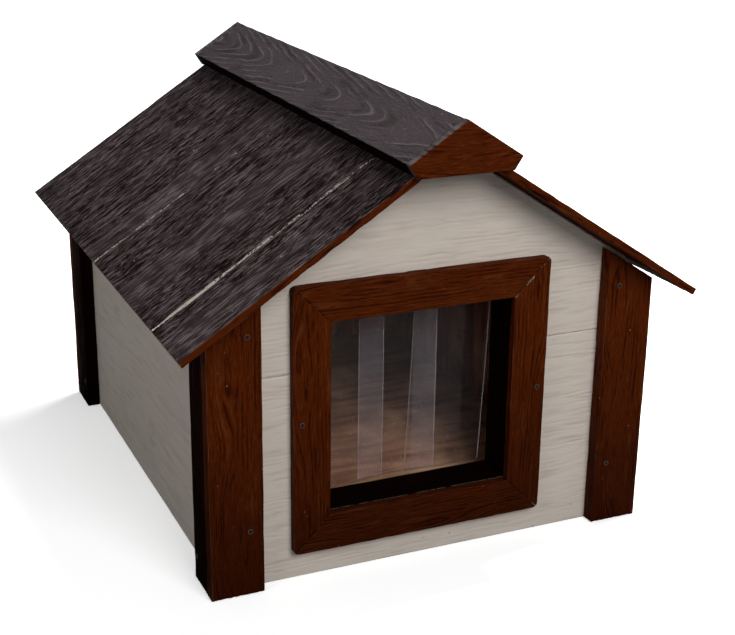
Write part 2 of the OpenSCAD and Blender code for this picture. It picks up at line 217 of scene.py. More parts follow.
def easedBlock(node, corners, grain, body, material, ease, cell,
               endEase=None, extra=(), dent=None, shape=None, sides=None):
    # a board: the surface of a block with rounded edges (each point is pulled onto a quarter ellipse
    # round the inner block), pressed in by the grain, then carried to its eight corners in space
    ease = np.array([endEase or ease, ease, ease])
    size = np.array([
        np.linalg.norm(corners[1] - corners[0], axis=-1).max(),
        np.linalg.norm(corners[:, 1] - corners[:, 0], axis=-1).max(),
        np.linalg.norm(corners[:, :, 1] - corners[:, :, 0], axis=-1).max(),
    ])
    places = [steps(size[n], cell[n], ease[n], extra if n == 1 else ()) for n in range(3)]
    index, quads = latticeFaces([len(p) - 1 for p in places])
    flat = np.stack([places[n][index[:, n]] for n in range(3)], 1)
    inner = np.clip(flat, ease, size - ease)
    outward = (flat - inner) / ease
    outward /= np.linalg.norm(outward, axis=1, keepdims=True)
    local = inner + ease * outward
    real = fromCorners(corners, local / size)
    direction = corners[1, 0, 1] - corners[0, 0, 1]
    along = (real - corners[0, 0, 1]) @ (direction / np.linalg.norm(direction))
    middle = size[1] / 2
    across = local[:, 1] + np.where(local[:, 1] > middle, 1, -1) * (size[2] - local[:, 2])
    relief, plain = grainRelief(along, across, grain)
    ends = (flat[:, 0] <= 0) | (flat[:, 0] >= size[0])
    rings = noise(local[:, 1] * 260, local[:, 2] * 400, grain["seed"])
    relief = np.where(ends, 0.35 + 0.4 * rings, relief)
    gap = np.sort(np.minimum(flat, size - flat), axis=1)[:, 1]
    edge = 1 - rise(gap, 0, grain.get("edge", 0.006))
    press = grain["depth"] * (1 - relief)
    wear = np.zeros(len(flat))
    if dent:
        cut, wear = dent(along, local, size)
        press = press + cut
    local = local - outward * press[:, None]
    points = fromCorners(corners, local / size)
    if shape:
        points = shape(points)
    start = corners[0, 0, 0]
    if np.linalg.det(np.stack([corners[1, 0, 0] - start, corners[0, 1, 0] - start, corners[0, 0, 1] - start])) < 0:
        quads = quads[:, ::-1]
    shift = grain["seed"] * house["apart"]
    place = np.stack([along + shift[0], across + shift[1], local[:, 2]], 1)
    fields = {"grain": place, "relief": relief, "edge": edge, "wear": wear, "plain": plain + np.zeros(len(flat))}
    piece = newPiece(f"{node}_shown", points, [quads], body, [node], material, fields)
    if sides:  # every side but the one that shows gets the second finish
        piece.data.materials.append(sides)
        onFace = (index[quads][:, :, 2] == len(places[2]) - 1).all(axis=1)
        piece.data.polygons.foreach_set("material_index", np.where(onFace, 0, 1).astype(np.int32))
    return piece


def cutSheet(node, xs, zs, keep, top, y0, y1, grain, seams):
    # a sheet of siding with an opening: a front and a back face on one grid of x and z, walls round
    # every cut edge; rows above the sheet's straight part stretch up to the line top(x)
    gridX, gridZ = np.meshgrid(xs, zs, indexing="ij")
    straight = grain["straight"]
    share = np.clip((gridZ - straight) / max(zs[-1] - straight, 1e-6), 0, 1)
    height = np.where(gridZ > straight, straight + share * (top(gridX) - straight), gridZ)
    relief = grainRelief(gridX + 1, height, grain)[0]
    near = np.full(gridX.shape, 1.0)
    for seam in seams:
        near = np.minimum(near, np.abs(height - seam))
    roll = siding["roll"] * np.exp(-near / siding["rollReach"])
    outward = 1 if y0 < y1 else -1
    front = y0 + outward * (grain["depth"] * (1 - relief) + roll)
    counts = gridX.size
    number = np.arange(counts).reshape(gridX.shape)
    points = np.concatenate([
        np.stack([gridX, front, height], -1).reshape(-1, 3),
        np.stack([gridX, np.full(gridX.shape, y1), height], -1).reshape(-1, 3),
    ])
    i, j = np.nonzero(keep)
    face = np.stack([number[i, j], number[i + 1, j], number[i + 1, j + 1], number[i, j + 1]], 1)
    quads = [face, face[:, ::-1] + counts]
    padded = np.pad(keep, 1)
    rounds = ((0, -1, (0, 0), (1, 0)), (1, 0, (1, 0), (1, 1)), (0, 1, (1, 1), (0, 1)), (-1, 0, (0, 1), (0, 0)))
    for di, dj, a, b in rounds:
        i, j = np.nonzero(keep & ~padded[1 + di:1 + di + keep.shape[0], 1 + dj:1 + dj + keep.shape[1]])
        first, second = number[i + a[0], j + a[1]], number[i + b[0], j + b[1]]
        quads.append(np.stack([second, first, first + counts, second + counts], 1))
    quads = np.concatenate(quads)
    if outward < 0:
        quads = quads[:, ::-1]
    used, back = np.unique(quads, return_inverse=True)
    shift = grain["seed"] * house["apart"]
    place = np.stack([gridX + 1 + shift[0], height + shift[1], np.zeros(gridX.shape)], -1)
    fields = {
        "grain": np.tile(place.reshape(-1, 3), (2, 1))[used],
        "relief": np.tile(relief.ravel(), 2)[used],
        "edge": np.tile(np.exp(-near / siding["seamWear"]).ravel(), 2)[used],
        "wear": np.zeros(len(used)),
    }
    newPiece(f"{node}_shown", points[used], [back.reshape(-1, 4)], "house", [node],
             creamPaint, fields)


# Shader nodes, and the groups that several materials share


def feed(tree, node, **inputs):
    # each named input is linked when its value is a socket, and set otherwise
    for key, value in inputs.items():
        socket = node.inputs[key.replace("_", " ")]
        if isinstance(value, bpy.types.NodeSocket):
            tree.links.new(value, socket)
        else:
            socket.default_value = value
    return node


def addNode(tree, kind, settings=None, **inputs):
    node = tree.nodes.new(kind)
    for key, value in (settings or {}).items():
        setattr(node, key, value)
    return feed(tree, node, **inputs)


def newGroup(name, inputs, outputs):
    tree = bpy.data.node_groups.new(name, "ShaderNodeTree")
    for key, kind, value in inputs:
        socket = tree.interface.new_socket(name=key, in_out="INPUT", socket_type="NodeSocket" + kind)
        if value is not None:
            socket.default_value = value
    for key in outputs:
        tree.interface.new_socket(name=key, in_out="OUTPUT", socket_type="NodeSocketFloat")
    return tree, tree.nodes.new("NodeGroupInput").outputs, tree.nodes.new("NodeGroupOutput")


def mathNode(tree, operation, first, second, clamp=False):
    node = addNode(tree, "ShaderNodeMath", {"operation": operation, "use_clamp": clamp})
    for n, value in enumerate((first, second)):
        if isinstance(value, (int, float)):
            node.inputs[n].default_value = value
        else:
            tree.links.new(value, node.inputs[n])
    return node.outputs[0]


def times(tree, first, second):
    return mathNode(tree, "MULTIPLY", first, second)


def plus(tree, first, second, clamp=False):
    return mathNode(tree, "ADD", first, second, clamp)


def mixColour(tree, factor, first, second, blend="MIX"):
    node = addNode(tree, "ShaderNodeMix", {"data_type": "RGBA", "blend_type": blend})
    for n, value in ((0, factor), (6, first), (7, second)):
        if isinstance(value, (int, float, tuple)):
            node.inputs[n].default_value = value if n == 0 else (*value, 1)
        else:
            tree.links.new(value, node.inputs[n])
    return node.outputs[2]


def rangeNode(tree, value, low, high, toLow=0.0, toHigh=1.0):
    # a value from low to high carried to toLow and toHigh by 3t^2 - 2t^3
    return addNode(tree, "ShaderNodeMapRange", {"interpolation_type": "SMOOTHSTEP"}, Value=value,
                   From_Min=low, From_Max=high, To_Min=toLow, To_Max=toHigh).outputs[0]


def makeStreakGroup():
    # long thin noise: the place is squeezed along the grain before a noise texture reads it
    tree, given, result = newGroup(
        "woodStreaks",
        [("Vector", "Vector", None), ("Scale", "Float", 400.0), ("Stretch", "Float", 22.0),
         ("Detail", "Float", 4.0)],
        ["Streak", "Patch"],
    )
    lengthways = mathNode(tree, "DIVIDE", given["Scale"], given["Stretch"])
    scales = addNode(tree, "ShaderNodeCombineXYZ", X=lengthways, Y=given["Scale"], Z=given["Scale"])
    squeezed = addNode(tree, "ShaderNodeVectorMath", {"operation": "MULTIPLY"})
    tree.links.new(given["Vector"], squeezed.inputs[0])
    tree.links.new(scales.outputs[0], squeezed.inputs[1])
    streak = addNode(tree, "ShaderNodeTexNoise", Vector=squeezed.outputs[0], Detail=given["Detail"],
                     Scale=1.0, Roughness=0.62)
    patch = addNode(tree, "ShaderNodeTexNoise", Vector=given["Vector"], Scale=9.0, Detail=3.0)
    feed(tree, result, Streak=streak.outputs["Fac"], Patch=patch.outputs["Fac"])
    return tree


def makeSpeckGroup():
    # scattered small flecks: the centres of a Voronoi pattern, kept where the cell's number is low
    tree, given, result = newGroup(
        "specks",
        [("Vector", "Vector", None), ("Scale", "Float", 160.0), ("Size", "Float", 0.16), ("Amount", "Float", 0.5)],
        ["Mask"],
    )
    cells = addNode(tree, "ShaderNodeTexVoronoi", {"feature": "F1"}, Vector=given["Vector"], Scale=given["Scale"])
    inside = mathNode(tree, "LESS_THAN", cells.outputs["Distance"], given["Size"])
    number = addNode(tree, "ShaderNodeSeparateColor", Color=cells.outputs["Color"]).outputs[0]
    chosen = mathNode(tree, "LESS_THAN", number, given["Amount"])
    feed(tree, result, Mask=times(tree, inside, chosen))
    return tree


def makeWearGroup():
    # rubbed paint: high grain and arrises, where a noise lets it through
    tree, given, result = newGroup(
        "rubbedPaint",
        [("Relief", "Float", 0.5), ("Edge", "Float", 0.0), ("Noise", "Float", 0.5), ("Amount", "Float", 0.3)],
        ["Mask"],
    )
    height = plus(tree, times(tree, given["Relief"], 0.25), times(tree, given["Edge"], 0.45))
    total = plus(tree, plus(tree, height, given["Noise"]), given["Amount"])
    feed(tree, result, Mask=rangeNode(tree, total, 1.12, 1.3))
    return tree


groups = {"streaks": makeStreakGroup(), "specks": makeSpeckGroup(), "wear": makeWearGroup()}


def useGroup(tree, key, **inputs):
    return addNode(tree, "ShaderNodeGroup", {"node_tree": groups[key]}, **inputs).outputs


def newMaterial(name):
    material = bpy.data.materials.new(name)
    material.use_nodes = True
    tree = material.node_tree
    return material, tree, tree.nodes["Principled BSDF"]


def attribute(tree, key, output="Fac"):
    return addNode(tree, "ShaderNodeAttribute", {"attribute_name": key}).outputs[output]


def objectPlace(tree):
    return addNode(tree, "ShaderNodeTexCoord").outputs["Object"]


def cloudy(tree, place, scale, detail):
    return addNode(tree, "ShaderNodeTexNoise", Vector=place, Scale=scale, Detail=detail).outputs["Fac"]


def speckle(tree, place, scale, size, amount):
    return useGroup(tree, "specks", Vector=place, Scale=scale, Size=size, Amount=amount)["Mask"]


def toned(tree, colour, tone):
    # a colour with all three channels multiplied by one value
    grey = addNode(tree, "ShaderNodeCombineColor", Red=tone, Green=tone, Blue=tone)
    return mixColour(tree, 1.0, colour, grey.outputs[0], "MULTIPLY")


def bumped(tree, height, strength, distance, invert=False):
    return addNode(tree, "ShaderNodeBump", {"invert": invert}, Height=height,
                   Strength=strength, Distance=distance).outputs[0]


def splitByRay(tree, ray, usual, other):
    # the usual shader, or the other one for one kind of ray
    mix = addNode(tree, "ShaderNodeMixShader")
    kind = addNode(tree, "ShaderNodeLightPath").outputs[ray]
    for n, source in enumerate((kind, usual.outputs[0], other.outputs[0])):
        tree.links.new(source, mix.inputs[n])
    feed(tree, tree.nodes["Material Output"], Surface=mix.outputs[0])


# Values that every painted board shares
paint = {
    "crumbScale": 420.0, "crumbs": (0.36, 0.64, 0.0, 0.5), "wornLevel": (0.78, 0.92),  # ragged rim of worn paint
    # highlightDash and highlightShare set the level and share of the painted highlight dashes on the grain
    "broadStretch": 9.0, "plainPits": 0.1, "highlightDash": (0.56, 0.66), "highlightShare": 0.6,
    "speckSize": 0.17, "speckShare": 0.7, "footHeights": (-0.1, 0.42),  # metres between which a board darkens
    "wornRough": 0.3, "bumpDepth": 0.0016, "fineBump": 0.5,
}


def paintedWood(name, look):
    # opaque stain or paint over pressed grain. The level is a weighted sum of relief and fine streaks:
    # low levels go to a painted shade in the grain's valleys, high ones to a painted highlight on its crests;
    # dark dashes of painted pit shade and light dashes of painted highlight, rubbed and worn places, specks
    # and a darker foot are laid over it
    material, tree, shader = newMaterial(name)
    place = attribute(tree, "grain", "Vector")
    relief = attribute(tree, "relief")
    crumbs = rangeNode(tree, cloudy(tree, place, paint["crumbScale"], 2.0), *paint["crumbs"])
    worn = rangeNode(tree, plus(tree, attribute(tree, "wear"), crumbs), *paint["wornLevel"])
    fine = useGroup(tree, "streaks", Vector=place, Scale=look["fineScale"], Stretch=look["stretch"])["Streak"]
    dash = useGroup(tree, "streaks", Vector=place, Scale=look["dashScale"], Stretch=look["dashStretch"])["Streak"]
    broad = useGroup(tree, "streaks", Vector=place, Scale=look["broadScale"], Stretch=paint["broadStretch"],
                     Detail=3.0)
    reliefShare, fineShare = look["shares"]
    # painted shade: low levels of the relief darken towards valleyShade, as shade in the grain's hollows
    level = plus(tree, times(tree, relief, reliefShare), times(tree, fine, fineShare))
    colour = mixColour(tree, rangeNode(tree, level, *look["valley"]), look["valleyShade"], look["base"])
    # painted highlight: high levels of the relief lighten towards crestHighlight
    crestHighlight = times(tree, rangeNode(tree, level, *look["top"]), look["crestShare"])
    colour = mixColour(tree, crestHighlight, colour, look["crestHighlight"])
    pitted = rangeNode(tree, attribute(tree, "plain"), 0.0, 1.0, 1.0, paint["plainPits"])
    # dark dashes: painted shade in the grain's pits
    low = rangeNode(tree, dash, *look["dashLevel"], look["dashShare"], 0.0)
    colour = mixColour(tree, times(tree, low, pitted), colour, look["pitShade"])
    # light dashes: painted highlights on the grain
    high = rangeNode(tree, dash, *paint["highlightDash"], 0.0, look["dashShare"] * paint["highlightShare"])
    colour = mixColour(tree, times(tree, high, pitted), colour, look["crestHighlight"])
    colour = toned(tree, colour, rangeNode(tree, broad["Patch"], 0.3, 0.7, *look["tone"]))
    rubbed = useGroup(tree, "wear", Relief=relief, Edge=attribute(tree, "edge"), Noise=broad["Streak"],
                      Amount=look["rubbed"])["Mask"]
    colour = mixColour(tree, times(tree, rubbed, look["rubbedShare"]), colour, look["bare"])
    specks = speckle(tree, place, look["speckScale"], paint["speckSize"], look["specks"])
    colour = mixColour(tree, times(tree, specks, paint["speckShare"]), colour, look["speck"])
    height = addNode(tree, "ShaderNodeSeparateXYZ", Vector=objectPlace(tree)).outputs[2]
    colour = toned(tree, colour, rangeNode(tree, height, *paint["footHeights"], look["foot"], 1.0))
    colour = mixColour(tree, worn, colour, look["worn"])
    rough = rangeNode(tree, level, 0.2, 1.0, *look["rough"])
    pressed = plus(tree, times(tree, fine, paint["fineBump"]), dash)
    feed(tree, shader, Base_Color=colour, Roughness=plus(tree, rough, times(tree, worn, paint["wornRough"]), True),
         Normal=bumped(tree, pressed, look["bump"], paint["bumpDepth"]), Specular_IOR_Level=look["gloss"])
    return material


# valleyShade and pitShade are painted shade in the grain's hollows; crestHighlight is a painted highlight on its
# crests
looks = {
    "brown": {
        "valleyShade": (0.034, 0.0045, 0.0003), "base": (0.078, 0.0122, 0.0007), "crestHighlight": (0.15, 0.043, 0.012),
        "pitShade": (0.024, 0.003, 0.0004), "bare": (0.20, 0.09, 0.05), "worn": (0.30, 0.24, 0.19),
        "shares": (0.95, 0.14), "valley": (0.2, 0.72), "top": (0.84, 1.0), "crestShare": 0.4, "tone": (0.93, 1.06),
        "dashScale": 480.0, "dashStretch": 8.0, "dashShare": 0.6, "dashLevel": (0.38, 0.45),
        "rubbed": 0.12, "rubbedShare": 0.3, "foot": 0.36,
        "speck": (0.3, 0.2, 0.13), "speckScale": 130.0, "specks": 0.02,
        "fineScale": 480.0, "stretch": 9.0, "broadScale": 120.0, "rough": (0.66, 0.5), "bump": 0.9, "gloss": 0.03,
    },
    # the brown stain as seen on the roof's top faces: its grey base is a painted sky sheen
    "roof": {
        "valleyShade": (0.006, 0.0022, 0.0017), "base": (0.028, 0.0190, 0.0195), "crestHighlight": (0.135, 0.103, 0.107),
        "pitShade": (0.0035, 0.0008, 0.0005), "bare": (0.2, 0.13, 0.1), "worn": (0.36, 0.32, 0.28),
        "shares": (0.65, 1.2), "valley": (0.72, 1.08), "top": (1.08, 1.26), "crestShare": 0.9, "tone": (0.8, 1.15),
        "dashScale": 430.0, "dashStretch": 6.0, "dashShare": 1.0, "dashLevel": (0.41, 0.46),
        "rubbed": 0.14, "rubbedShare": 0.4, "foot": 1.0,
        "speck": (0.28, 0.24, 0.21), "speckScale": 110.0, "specks": 0.015,
        "fineScale": 400.0, "stretch": 15.0, "broadScale": 95.0, "rough": (0.7, 0.5), "bump": 1.0, "gloss": 0.04,
    },
    "ridge": {
        "valleyShade": (0.020, 0.013, 0.0125), "base": (0.049, 0.0385, 0.041), "crestHighlight": (0.10, 0.086, 0.09),
        "pitShade": (0.004, 0.0015, 0.0012), "bare": (0.2, 0.13, 0.1), "worn": (0.40, 0.36, 0.31),
        "shares": (0.9, 0.12), "valley": (0.1, 0.38), "top": (0.55, 0.95), "crestShare": 1.0, "tone": (0.93, 1.06),
        "dashScale": 260.0, "dashStretch": 2.6, "dashShare": 0.5, "dashLevel": (0.31, 0.35),
        "rubbed": 0.05, "rubbedShare": 0.4, "foot": 1.0,
        "speck": (0.16, 0.12, 0.09), "speckScale": 120.0, "specks": 0.05,
        "fineScale": 420.0, "stretch": 6.0, "broadScale": 95.0, "rough": (0.65, 0.5), "bump": 0.6, "gloss": 0.05,
    },
    "cream": {
        "valleyShade": (0.52, 0.445, 0.378), "base": (0.645, 0.57, 0.50), "crestHighlight": (0.67, 0.595, 0.525),
        "pitShade": (0.48, 0.405, 0.34), "bare": (0.54, 0.44, 0.33), "worn": (0.35, 0.25, 0.16),
        "shares": (0.8, 0.2), "valley": (0.15, 0.75), "top": (0.85, 1.05), "crestShare": 0.4, "tone": (0.98, 1.02),
        "dashScale": 230.0, "dashStretch": 9.0, "dashShare": 0.1, "dashLevel": (0.36, 0.46),
        "rubbed": 0.05, "rubbedShare": 0.2, "foot": 0.96,
        "speck": (0.38, 0.30, 0.22), "speckScale": 80.0, "specks": 0.008,
        "fineScale": 320.0, "stretch": 12.0, "broadScale": 70.0, "rough": (0.66, 0.52), "bump": 0.25, "gloss": 0.2,
    },
}
# the same stain darkened as painted shade: a darker copy for the side boards, and a darkest one for the
# doorway lining and the ridge boards' other sides
for key, share in (("brownShadedSide", 0.12), ("brownDeepShade", 0.07)):
    looks[key] = dict(looks["brown"], gloss=0.015, rubbed=0.08, specks=0.015, tone=(0.9, 1.05))
    for part in ("valleyShade", "base", "crestHighlight", "pitShade", "bare", "speck", "worn"):
        looks[key][part] = tuple(value * (0.35 if part == "worn" else share) for value in looks["brown"][part])
brownPaint = paintedWood("brown_stain", looks["brown"])
sideShadePaint = paintedWood("brown_stain_side_shade", looks["brownShadedSide"])
deepShadePaint = paintedWood("brown_stain_deep_shade", looks["brownDeepShade"])
roofSheenPaint = paintedWood("roof_stain_sky_sheen", looks["roof"])
ridgePaint = paintedWood("ridge_stain", looks["ridge"])
creamPaint = paintedWood("cream_paint", looks["cream"])
print("materials made for the painted boards")


def bareWood(name, look, along):
    # unpainted board on object coordinates, its grain along one axis: 0 is X, 1 is Y, 2 is Z. Broad
    # streaks go from dark to light, fine ones and specks to the line colour, patches to a paler one
    material, tree, shader = newMaterial(name)
    apart = addNode(tree, "ShaderNodeSeparateXYZ", Vector=objectPlace(tree)).outputs
    place = addNode(tree, "ShaderNodeCombineXYZ", X=apart[along], Y=apart[(along + 1) % 3],
                    Z=apart[(along + 2) % 3]).outputs[0]
    fine = useGroup(tree, "streaks", Vector=place, Scale=look["fineScale"], Stretch=20.0)["Streak"]
    broad = useGroup(tree, "streaks", Vector=place, Scale=look["broadScale"], Stretch=12.0, Detail=2.0)
    colour = mixColour(tree, rangeNode(tree, broad["Streak"], 0.35, 0.65), look["dark"], look["light"])
    colour = mixColour(tree, rangeNode(tree, fine, 0.5, 0.75, 0.0, 0.5), colour, look["line"])
    colour = toned(tree, colour, rangeNode(tree, broad["Patch"], 0.3, 0.7, 0.82, 1.1))
    colour = mixColour(tree, times(tree, speckle(tree, place, 70.0, 0.15, 0.08), 0.5), colour, look["line"])
    colour = mixColour(tree, rangeNode(tree, broad["Patch"], 0.5, 0.68, 0.0, 0.6), colour, look["patch"])
    feed(tree, shader, Base_Color=colour, Roughness=rangeNode(tree, fine, 0.2, 0.8, 0.75, 0.5),
         Normal=bumped(tree, fine, 0.35, 0.0008))
    return material


woods = {
    "lining": {
        "dark": (0.17, 0.052, 0.024), "light": (0.43, 0.155, 0.078), "line": (0.08, 0.028, 0.012),
        "patch": (0.52, 0.36, 0.22), "fineScale": 380.0, "broadScale": 60.0,
    },
    "deck": {
        "dark": (0.17, 0.08, 0.04), "light": (0.34, 0.19, 0.11), "line": (0.10, 0.045, 0.02),
        "patch": (0.46, 0.31, 0.19), "fineScale": 380.0, "broadScale": 60.0,
    },
    "pine": {
        "dark": (0.50, 0.33, 0.17), "light": (0.66, 0.48, 0.28), "line": (0.34, 0.2, 0.09),
        "patch": (0.62, 0.44, 0.25), "fineScale": 420.0, "broadScale": 110.0,
    },
}
foam = {"bead": (0.86, 0.70, 0.66), "joint": (0.70, 0.50, 0.46), "pale": (0.90, 0.80, 0.76), "beadScale": 260.0}
# steel colours: cross is the painted shade in a screw's cross recess
steel = {"dull": (0.050, 0.022, 0.012), "dark": (0.026, 0.011, 0.006), "rim": (0.15, 0.105, 0.085),
         "cross": (0.0015, 0.001, 0.001), "metallic": 0.3}
clear = {"sheet": (0.97, 0.935, 0.945), "cloud": (0.90, 0.86, 0.88), "speck": (0.7, 0.7, 0.68),
         "shadow": (0.88, 0.87, 0.88, 1), "ior": 1.27}


def makeFoamMaterial():
    # pressed foam beads: rounded cells of a Voronoi pattern, darker in the joints
    material, tree, shader = newMaterial("foam_board")
    place = objectPlace(tree)
    bead = addNode(tree, "ShaderNodeTexVoronoi", {"feature": "F1"}, Vector=place,
                   Scale=foam["beadScale"]).outputs["Distance"]
    pale = rangeNode(tree, cloudy(tree, place, 14.0, 3.0), 0.4, 0.7, 0.0, 0.4)
    colour = mixColour(tree, rangeNode(tree, bead, 0.35, 0.75), foam["bead"], foam["joint"])
    feed(tree, shader, Base_Color=mixColour(tree, pale, colour, foam["pale"]),
         Roughness=rangeNode(tree, bead, 0.2, 0.8, 0.6, 0.85), Normal=bumped(tree, bead, 0.6, 0.0015, True))
    return material


def makeScrewMaterial():
    # dulled steel: palest on the rim; nearly black in the cross, a painted shade in its recess
    material, tree, shader = newMaterial("screw_metal")
    patch = cloudy(tree, objectPlace(tree), 700.0, 3.0)
    sunk = attribute(tree, "recess")
    colour = mixColour(tree, rangeNode(tree, patch, 0.35, 0.65), steel["dull"], steel["dark"])
    colour = mixColour(tree, attribute(tree, "rim"), colour, steel["rim"])
    rough = plus(tree, rangeNode(tree, patch, 0.3, 0.7, 0.35, 0.6), times(tree, sunk, 0.4), True)
    feed(tree, shader, Base_Color=mixColour(tree, sunk, colour, steel["cross"]), Roughness=rough,
         Metallic=steel["metallic"])
    return material


def makeStripMaterial(name, passing):
    # clear soft sheet, a little cloudy, that lets a share of the light through; lamps pass straight
    # through it
    material, tree, shader = newMaterial(name)
    place = objectPlace(tree)
    cloud, grit = cloudy(tree, place, 26.0, 5.0), cloudy(tree, place, 900.0, 2.0)
    specks = speckle(tree, place, 240.0, 0.13, 0.12)
    colour = mixColour(tree, rangeNode(tree, cloud, 0.35, 0.7), clear["sheet"], clear["cloud"])
    colour = mixColour(tree, times(tree, specks, 0.5), colour, clear["speck"])
    rough = plus(tree, rangeNode(tree, cloud, 0.3, 0.75, 0.03, 0.12), times(tree, specks, 0.3))
    height = plus(tree, cloud, times(tree, grit, 0.15))
    feed(tree, shader, Base_Color=colour, Roughness=rough, Normal=bumped(tree, height, 0.12, 0.0006),
         Transmission_Weight=passing, IOR=clear["ior"])
    splitByRay(tree, "Is Shadow Ray", shader, addNode(tree, "ShaderNodeBsdfTransparent", Color=clear["shadow"]))
    return material


foamMaterial = makeFoamMaterial()
screwMetal = makeScrewMaterial()
clearSheet = makeStripMaterial("clear_sheet", 0.996)
# a milkier copy for the overlaps: painted reflection haze of two layers
overlapHazeSheet = makeStripMaterial("clear_sheet_overlap_haze", 0.976)
clearEdge = makeStripMaterial("clear_sheet_edge", 0.86)

# Inside boards, framing and foam keep their CAD shape; each node gets a finish and grain direction
finishes = {
    "lining": {2: ["rear_liner", "left_liner", "right_liner", "front_liner"],
               1: ["ceiling_left", "ceiling_right", "floor_skin"]},
    "deck": {0: ["floor_deck"]},
    "pine": {
        0: ["door_header", "strip_clamp_bar"],
        1: ["left_top_plate", "right_top_plate", "floor_rail_left", "floor_rail_right", "ridge_beam"],
        2: ["front_left_stud", "front_right_stud", "rear_left_stud", "rear_right_stud",
            "door_left_stud", "door_right_stud"],
    },
}


def setFinish(names, material):
    for name in names:
        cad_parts[name].data.materials.clear()
        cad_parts[name].data.materials.append(material)


for key, directions in finishes.items():
    for along, names in directions.items():
        setFinish(names, bareWood(f"{key}_board_{'xyz'[along]}", woods[key], along))
setFinish([f"{place}_foam" for place in ("front", "rear", "left", "right", "floor", "roof")], foamMaterial)
print("inside boards, framing and foam finished")

# Corner boards: a wide one on the front or rear face, a narrow one on the side face
corner = {
    "ease": 0.0022, "cell": (0.004, 0.0011, 0.004),
    "grain": {"depth": 0.0022, "lines": 120, "pitLines": 260, "wander": 0.010, "dash": 16, "thin": 3.0,
              "mix": (0.62, 0.25, 0.2)},
}


def cornerBoards():
    seed = 1
    for endName, endSign in (("front", -1), ("rear", 1)):
        for sideName, sideSign in (("left", -1), ("right", 1)):
            for kind, outward in (("corner_board", (1, endSign)), ("side_board", (0, sideSign))):
                node = f"{endName}_{sideName}_{kind}"
                low, high = nodeBox(node)
                corners = boxCorners(low, high, 2, 0 if kind == "corner_board" else 1, outward)
                inner = min(abs(low[0]), abs(high[0]))
                corners[1, :, :, 2] = high[2] - (np.abs(corners[1, :, :, 0]) - inner) * slope
                arches = [(0.045 - 0.01 * sideSign, 0.40, 0.16), (0.06, 0.12, 0.12)]
                grain = {**corner["grain"], "seed": seed, "arches": arches}
                # side boards take the copy of the stain darkened as painted shade
                finish = brownPaint if kind == "corner_board" else sideShadePaint
                easedBlock(node, corners, grain, "house", finish, corner["ease"], corner["cell"])
                seed += 1


cornerBoards()
print("corner boards built")

# Door trim: four mitred boards with rounded outer corners, and the boards that line the doorway
trim = {
    "ease": 0.0018, "endEase": 0.0004, "cell": (0.004, 0.0011, 0.004),
    "radius": 0.009,  # outer corners of the frame
    "grain": {**corner["grain"], "depth": 0.0020, "lines": 125, "wander": 0.012, "dash": 18, "edge": 0.005},
}
lining = {"ease": 0.0012, "cell": (0.006, 0.002, 0.004), "depth": 0.0008}


def roundOuterCorners(points):
    # in each outer corner square a point keeps its distance along the larger side but on a circle
    low, high = nodeBox("door_trim_top")
    lowest = nodeBox("door_trim_bottom")[0]
    centre = np.array([(low[0] + high[0]) / 2, (lowest[2] + high[2]) / 2])
    half = np.array([(high[0] - low[0]) / 2, (high[2] - lowest[2]) / 2])
    flat = points[:, [0, 2]] - centre
    past = np.abs(flat) - (half - trim["radius"])
    both = (past > 0).all(axis=1)
    longer = past.max(axis=1)
    length = np.linalg.norm(past, axis=1)
    moved = np.sign(flat) * ((half - trim["radius"]) + past * (longer / np.maximum(length, 1e-9))[:, None])
    flat[both] = moved[both]
    points[:, [0, 2]] = flat + centre
    return points


def doorTrim():
    (x0, face, inside), (x1, back, z1) = nodeBox("door_trim_top")
    z0 = nodeBox("door_trim_bottom")[0][2]
    width = z1 - inside
    boards = {
        "top": ([x0, z1], [x1, z1], [x0 + width, z1 - width], [x1 - width, z1 - width]),
        "bottom": ([x0, z0], [x1, z0], [x0 + width, z0 + width], [x1 - width, z0 + width]),
        "left": ([x0, z0], [x0, z1], [x0 + width, z0 + width], [x0 + width, z1 - width]),
        "right": ([x1, z0], [x1, z1], [x1 - width, z0 + width], [x1 - width, z1 - width]),
    }
    for n, (key, (outStart, outEnd, inStart, inEnd)) in enumerate(boards.items()):
        corners = np.zeros((2, 2, 2, 3))
        for k, y in enumerate((back, face)):
            for i, ends in enumerate(((outStart, inStart), (outEnd, inEnd))):
                for j, (x, z) in enumerate(ends):
                    corners[i, j, k] = [x, y, z]
        grain = {**trim["grain"], "seed": 20 + n, "arches": [(0.03, 0.12 + 0.09 * n, 0.14)]}
        easedBlock(f"door_trim_{key}", corners, grain, "house", brownPaint,
                   trim["ease"], trim["cell"], endEase=trim["endEase"], shape=roundOuterCorners,
                   dent=paleMitre if key in ("top", "right") else None)


def paleMitre(along, local, size):
    # rubbed paint on the arris of a mitre at the far end of a board
    line = 1 - rise(size[0] - local[:, 0], 0.0003, 0.0012)
    return np.zeros(len(local)), 0.9 * line * rise(noise(local[:, 1] * 90, along * 0, 6), 0.1, 0.4)


def paleFrontEdge(along, local, size):
    # a thin line of siding paint where a lining board meets the trim: its long edge at the front
    line = 1 - rise(np.abs(local[:, 1] - 0.0012), 0.0006, 0.0014)
    return np.zeros(len(local)), 0.75 * line * rise(noise(along * 60, along * 0, 5), 0.05, 0.3)


def doorLining():
    for n, (key, along, outward) in enumerate((
        ("door_head_lining", 0, (2, -1)), ("door_sill", 0, (2, 1)),
        ("door_left_lining", 2, (0, 1)), ("door_right_lining", 2, (0, -1)),
    )):
        corners = boxCorners(*nodeBox(key), along, 1, outward)
        grain = {**trim["grain"], "seed": 30 + n, "depth": lining["depth"]}
        # the doorway lining and sill take the stain darkened as painted shade
        easedBlock(key, corners, grain, "house", deepShadePaint, lining["ease"], lining["cell"],
                   dent=paleFrontEdge if n in (1, 3) else None)


doorTrim()
doorLining()
print("door trim and lining built")

